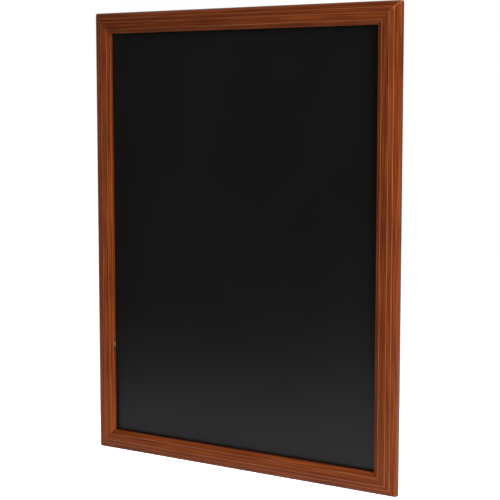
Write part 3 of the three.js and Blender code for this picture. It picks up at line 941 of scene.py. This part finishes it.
def turned(edit, profile, sides):
    """A turned piece round the Y axis: radius and height over the back, from end to end."""
    rings = []
    for radius, height in profile:
        angles = [2 * math.pi * side / sides for side in range(sides if radius else 1)]
        rings.append(corner_ring(edit, [
            (radius * math.cos(angle), height, radius * math.sin(angle)) for angle in angles]))
    for low, high in zip(rings, rings[1:]):
        for side in range(sides):
            after = (side + 1) % sides
            corners = [low[side % len(low)], low[after % len(low)],
                       high[after % len(high)], high[side % len(high)]]
            edit.faces.new(list(dict.fromkeys(corners)))


def screw_mesh():
    """The screw with its cross recess, cut by a tapered cross."""
    edit = bmesh.new()
    radius, height = SCREW_HEAD
    crown = arc_points((0, SCREW_SEAT), (radius, height), 0, 90, CROWN_STEPS)[:-1]
    tip = SCREW_SEAT - SCREW_LENGTH
    profile = [(0, tip), (SCREW_RADIUS, tip + SCREW_TIP), (SCREW_RADIUS, SCREW_SEAT),
               (radius - HEAD_UNDER_EDGE, SCREW_SEAT),
               (radius - HEAD_RIM[0], SCREW_SEAT + HEAD_RIM[1])]
    profile += [(r, h) for r, h in crown if h > SCREW_SEAT + CROWN_START]
    turned(edit, profile + [(0, SCREW_SEAT + height)], SCREW_SIDES)
    body = put_in_scene("screw_body", closed_mesh("screw_body", edit))
    edit = bmesh.new()
    floor = SCREW_SEAT + height - RECESS_DEPTH
    over_head = SCREW_SEAT + height + RECESS_OVERSHOOT
    for long_x in (True, False):
        levels = []
        for level, share in ((floor, RECESS_FLOOR_SHARE), (over_head, 1.0)):
            x = RECESS_LENGTH / 2 * share
            z = RECESS_WIDTH / 2 * (1 - RECESS_TAPER + RECESS_TAPER * share)
            if not long_x:
                x, z = z, x
            levels.append(corner_ring(edit, [
                (-x, level, -z), (x, level, -z), (x, level, z), (-x, level, z)]))
        close_block(edit, *levels)
    cross = put_in_scene("screw_cross", closed_mesh("screw_cross", edit))
    cut = body.modifiers.new("recess", "BOOLEAN")
    cut.object = cross
    cut.solver = "EXACT"
    cut.use_self = True
    mesh = finished_mesh(body)
    bpy.data.objects.remove(body)
    bpy.data.objects.remove(cross)
    return mesh


screw_spots, screw_nodes = [], []
for plate, ends, (spot, turn) in (("top", ("left", "right"), plate_places[0]),
                                  ("side", ("lower", "upper"), plate_places[1])):
    across = Matrix.Rotation(turn, 3, "Y")
    for place, end in zip(screw_places, ends):
        screw_spots.append((spot + across @ Vector((place, 0, -PLATE_DROP)) * MM, turn))
        screw_nodes.append(f"hanger_screw_{plate}_{end}")
set_fasteners("hanger_screws", screw_mesh(), screw_spots, zinc, screw_nodes,
              chance_turn=0.7, seed=5)

# Hanging rings. Steel wire bent to a D; the straight side turns in the plate's eye and the
# arch takes the wall hook. At rest each ring leans against the timber.
WIRE_RADIUS = 1.1
RING_HALF_WIDTH = 7.0
RING_LEG = 5.0
RING_CORNER = 2.0
RING_WOOD_GAP = 0.3
RING_LEAN = math.asin((HINGE_HEIGHT - WIRE_RADIUS - RING_WOOD_GAP) / (RING_LEG + RING_HALF_WIDTH))
WIRE_SIDES = 20
RING_CORNER_STEPS = 10
RING_ARCH_STEPS = 40


def ring_path():
    """The wire's middle line, upright over the hinge."""
    corner = RING_HALF_WIDTH - RING_CORNER
    bend = (RING_CORNER, RING_CORNER)
    arch = (RING_HALF_WIDTH, RING_HALF_WIDTH)
    points = (arc_points((corner, RING_CORNER), bend, -90, 0, RING_CORNER_STEPS)
              + arc_points((0, RING_LEG), arch, 0, 180, RING_ARCH_STEPS)
              + arc_points((-corner, RING_CORNER), bend, 180, 270, RING_CORNER_STEPS))
    return [(x, 0, z) for x, z in points]


def wire_tree():
    """Round wire along a bent path."""
    tree = new_shape_tree("bent_wire", [
        ("Path", "Object"), ("Wire Radius", "Float"), ("Wire Sides", "Int"), ("Finish", "Material"),
    ])
    sizes = add(tree, "NodeGroupInput").outputs
    path = add(tree, "GeometryNodeObjectInfo", {"Object": sizes["Path"]}).outputs["Geometry"]
    line = add(tree, "GeometryNodeMeshToCurve", {"Mesh": path}).outputs["Curve"]
    round_wire = add(tree, "GeometryNodeCurvePrimitiveCircle", {
        "Resolution": sizes["Wire Sides"], "Radius": sizes["Wire Radius"]}).outputs["Curve"]
    wire = add(tree, "GeometryNodeCurveToMesh", {"Curve": line, "Profile Curve": round_wire})
    close_shape_tree(tree, wire.outputs["Mesh"], sizes["Finish"])
    return tree


path_piece = put_in_scene("ring_path", closed_line("ring_path", ring_path()))
bent_wire = wire_tree()
for body, node, turn in (("top_ring", "hanger_ring_top", 0.0),
                         ("side_ring", "hanger_ring_side", -math.pi / 2)):
    place = (Matrix.Translation(hinges[body]) @ Matrix.Rotation(turn, 4, "Y")
             @ Matrix.Rotation(RING_LEAN, 4, "X"))
    ring = shape_piece(body + "_wire", bent_wire, {
        "Path": path_piece, "Wire Radius": WIRE_RADIUS * MM, "Wire Sides": WIRE_SIDES,
        "Finish": zinc,
    }, place)
    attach(ring, body)
    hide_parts(node)
bpy.data.objects.remove(path_piece)

# Wall pads. Round black rubber bumpers stuck near the corners of the back, a little thicker
# than the hanger's eye, so the board stands parallel to the wall.
PAD_RADIUS = 6.0
PAD_FACE = 5.0
PAD_HEIGHT = (0.1, 5.1)
PAD_EDGE = 0.8
PAD_FOOT_EASE = 0.2
PAD_FOOT_SIDE = 0.5
PAD_FOOT_TOP = 0.7
PAD_WAIST = 0.22
PAD_EDGE_STEPS = 8
PAD_SIDES = 40
RUBBER_BLACK = (0.012, 0.012, 0.013, 1)
RUBBER_BLOOM = (0.026, 0.026, 0.027, 1)


def moulded_rubber():
    """Black rubber with a grey bloom and a fine moulded grain."""
    finish, tree, shader = new_finish("moulded_rubber")
    spot = add(tree, "ShaderNodeTexCoord").outputs["Object"]
    bloom = between(tree, noise(tree, spot, 420.0, 4.0), 0.35, 0.7)
    feed(tree, shader, blended(tree, bloom, RUBBER_BLACK, RUBBER_BLOOM))
    emboss(tree, shader, noise(tree, spot, 3600.0, 2.0), 0.3, 0.00004)
    shader.inputs["Roughness"].default_value = 0.68
    return finish


edit = bmesh.new()
pad_low, pad_high = PAD_HEIGHT
pad_edge = arc_points((PAD_FACE - PAD_EDGE, pad_high - PAD_EDGE), (PAD_EDGE, PAD_EDGE), 0, 90,
                      PAD_EDGE_STEPS)
pad_foot = [(0, pad_low), (PAD_RADIUS - PAD_FOOT_EASE, pad_low),
            (PAD_RADIUS, pad_low + PAD_FOOT_EASE), (PAD_RADIUS, pad_low + PAD_FOOT_SIDE),
            (PAD_RADIUS - PAD_WAIST, pad_low + PAD_FOOT_TOP)]
turned(edit, pad_foot + pad_edge + [(0, pad_high)], PAD_SIDES)
pad_mesh = closed_mesh("wall_pad", edit)
pad_places, pad_nodes = [], []
for height_name in ("top", "bottom"):
    for side_name in ("left", "right"):
        node = f"wall_pad_{height_name}_{side_name}"
        low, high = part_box(node)
        pad_places.append((Vector(((low.x + high.x) / 2, back_plane, (low.z + high.z) / 2)), 0.0))
        pad_nodes.append(node)
set_fasteners("wall_pads", pad_mesh, pad_places, moulded_rubber(), pad_nodes)

# Studio. A pale floor well below the board in a white surround, a soft box high on the right
# and one behind. Black screens that are only mirrored keep the lacquers dark. A card under
# the frame, paler to the right, lights the bottom rail and shows in the panel's lower part.
FLOOR_DROP = 0.5
FLOOR_HALF = 7.0
FLOOR_GLOW = 0.6
SCREEN_TOP = 2.2
CLOTH_LIFT = 0.02
CLOTH_SIDES = (-3.2, 3.0)
CLOTH_FRONT = -2.0
CLOTH_BACK = -0.5
CEILING_BACK = 0.3
LEFT_SCREEN_END = -3.8
SCREEN_LINE = -0.3
REAR_SCREEN = (0.5, 1.9)
REAR_FOOT = -0.75
CARD_OUTLINE = ((-0.8, -0.48), (0.6, -0.84), (0.6, 0.02), (-0.8, 0.02))
CARD_DROPS = (0.03, 0.03, 0.02, 0.02)
CARD_GLOW = 0.10
CARD_FADE = (-0.6, 0.4)
CARD_GREY = (0.43, 0.455, 0.49, 1)
CARD_WHITE = (0.89, 0.93, 0.99, 1)
SURROUND_LIGHT = 0.55
KEY_PLACE = (4.6, -2.2, 1.5)
KEY_SIZE = (2.8, 2.8)
KEY_POWER = 285
BACK_PLACE = (-1.25, 1.9, 0.25)
BACK_SIZE = (1.4, 1.4)
BACK_POWER = 36


def seen_share(tree):
    """1 for what the camera sees, mirrored and through glass too; 0 for the light it gives."""
    rays = add(tree, "ShaderNodeLightPath").outputs
    mirrored = reckon(tree, "MAXIMUM", rays["Is Glossy Ray"], rays["Is Transmission Ray"])
    return reckon(tree, "MAXIMUM", rays["Is Camera Ray"], mirrored)


def plain_finish(name, colour, roughness, glow_strength=0.0, clear_behind=False):
    """A plain stage finish; its glow is only seen or mirrored, and its back can be clear."""
    finish, tree, shader = new_finish(name)
    shader.inputs["Base Color"].default_value = colour
    shader.inputs["Roughness"].default_value = roughness
    shader.inputs["Specular IOR Level"].default_value = 0.0
    strength = reckon(tree, "MULTIPLY", seen_share(tree), glow_strength)
    glow = add(tree, "ShaderNodeEmission", {"Color": (1, 1, 1, 1), "Strength": strength})
    both = add(tree, "ShaderNodeAddShader", {0: shader.outputs["BSDF"], 1: glow.outputs[0]})
    surface = both.outputs[0]
    if clear_behind:
        clear = add(tree, "ShaderNodeBsdfTransparent").outputs[0]
        behind = add(tree, "ShaderNodeNewGeometry").outputs["Backfacing"]
        surface = add(tree, "ShaderNodeMixShader", {0: behind, 1: surface, 2: clear}).outputs[0]
    tree.links.new(surface, tree.nodes["Material Output"].inputs["Surface"])
    return finish


def graded_card():
    """A white card with a grey wash that deepens towards the left."""
    finish = plain_finish("white_card", (1, 1, 1, 1), 0.8, CARD_GLOW)
    tree = finish.node_tree
    spot = add(tree, "ShaderNodeTexCoord").outputs["Object"]
    across = add(tree, "ShaderNodeSeparateXYZ", {0: spot}).outputs["X"]
    feed(tree, tree.nodes["Principled BSDF"],
         blended(tree, between(tree, across, *CARD_FADE), CARD_GREY, CARD_WHITE))
    return finish


def stage_sheet(name, corners, finish):
    mesh = bpy.data.meshes.new(name)
    mesh.from_pydata(corners, [], [tuple(range(len(corners)))])
    mesh.materials.append(finish)
    sheet = put_in_scene(name, mesh)
    return sheet


def mirror_card(name, corners, finish):
    """A card that is only mirrored: the camera, the lamp and the floor don't meet it."""
    card = stage_sheet(name, corners, finish)
    card.visible_camera = False
    card.visible_diffuse = False
    card.visible_shadow = False


def standing_screens(feet, foot_height, first_number):
    """Black screens from foot to foot, each standing on its lower edge."""
    for number, (start, end) in enumerate(zip(feet, feet[1:]), first_number):
        mirror_card(f"black_screen_{number}", [
            (*start, foot_height), (*end, foot_height), (*end, SCREEN_TOP),
            (*start, SCREEN_TOP)], black_cloth)


def soft_box(name, place, size, power):
    """A large soft lamp, placed from the board's middle and aimed at it, and never mirrored."""
    lamp = bpy.data.lights.new(name, "AREA")
    lamp.shape = "RECTANGLE"
    lamp.size, lamp.size_y = size
    lamp.energy = power
    box = bpy.data.objects.new(name, lamp)
    bpy.context.scene.collection.objects.link(box)
    board_middle = Vector((0, 0, frame_middle.z))
    box.location = Vector(place) + board_middle
    box.rotation_euler = (-Vector(place)).to_track_quat("-Z", "Y").to_euler()
    box.visible_glossy = False


floor_height = frame_bottom - FLOOR_DROP
stage_sheet("studio_floor", [
    (-FLOOR_HALF, -FLOOR_HALF, floor_height), (FLOOR_HALF, -FLOOR_HALF, floor_height),
    (FLOOR_HALF, FLOOR_HALF, floor_height), (-FLOOR_HALF, FLOOR_HALF, floor_height),
], plain_finish("pale_floor", (0.85, 0.85, 0.85, 1), 0.8, FLOOR_GLOW, clear_behind=True))
black_cloth = plain_finish("black_cloth", (0.012, 0.012, 0.012, 1), 0.9)
cloth_height = floor_height + CLOTH_LIFT
cloth_left, cloth_right = CLOTH_SIDES
standing_screens(((LEFT_SCREEN_END, SCREEN_LINE), (cloth_left, CLOTH_FRONT),
                  (cloth_right, CLOTH_FRONT), (cloth_right, SCREEN_LINE)), cloth_height, 1)
standing_screens(((cloth_right, SCREEN_LINE), (cloth_right, REAR_SCREEN[1]), REAR_SCREEN),
                 REAR_FOOT, 4)
for name, back, height in (("black_floor_cloth", CLOTH_BACK, cloth_height),
                           ("black_ceiling", CEILING_BACK, SCREEN_TOP)):
    mirror_card(name, [
        (cloth_left, CLOTH_FRONT, height), (cloth_right, CLOTH_FRONT, height),
        (cloth_right, back, height), (cloth_left, back, height)], black_cloth)
reflector = stage_sheet("white_reflector", [
    (*corner, frame_bottom - drop) for corner, drop in zip(CARD_OUTLINE, CARD_DROPS)
], graded_card())
reflector.visible_camera = False
reflector.visible_shadow = False
soft_box("key_soft_box", KEY_PLACE, KEY_SIZE, KEY_POWER)
soft_box("back_soft_box", BACK_PLACE, BACK_SIZE, BACK_POWER)

world = bpy.data.worlds.new("white_surround")
world.use_nodes = True
surround = world.node_tree
strength = between(surround, seen_share(surround), 0.0, 1.0, SURROUND_LIGHT, 1.0)
surround.links.new(strength, surround.nodes["Background"].inputs["Strength"])
surround.nodes["Background"].inputs["Color"].default_value = (1, 1, 1, 1)
bpy.context.scene.world = world

# Camera. At the photograph's place: right of the board and above its middle, with the lens
# and turn that a fit to the frame's edges gives at this shift.
SENSOR_WIDTH = 36.0
IMAGE_WIDTH = 500
FOCAL_PIXELS = 1221.6
SHIFT_UP = -0.065
CAMERA_PLACE = (1.0725, -1.7964, 0.2410)
DEGREES_DOWN = 5.413
DEGREES_TURNED = 30.39
FARTHEST_SEEN = 50.0

camera_data = bpy.data.cameras.new("photograph_view")
camera_data.sensor_width = SENSOR_WIDTH
camera_data.lens = FOCAL_PIXELS / IMAGE_WIDTH * SENSOR_WIDTH
camera_data.shift_y = SHIFT_UP
camera_data.dof.use_dof = False
camera_data.clip_end = FARTHEST_SEEN
camera = bpy.data.objects.new("photograph_view", camera_data)
bpy.context.scene.collection.objects.link(camera)
camera.location = frame_middle + Vector(CAMERA_PLACE)
camera.rotation_euler = (math.radians(90 - DEGREES_DOWN), 0.0, math.radians(DEGREES_TURNED))
bpy.context.scene.camera = camera
bpy.context.scene.view_settings.view_transform = "Standard"
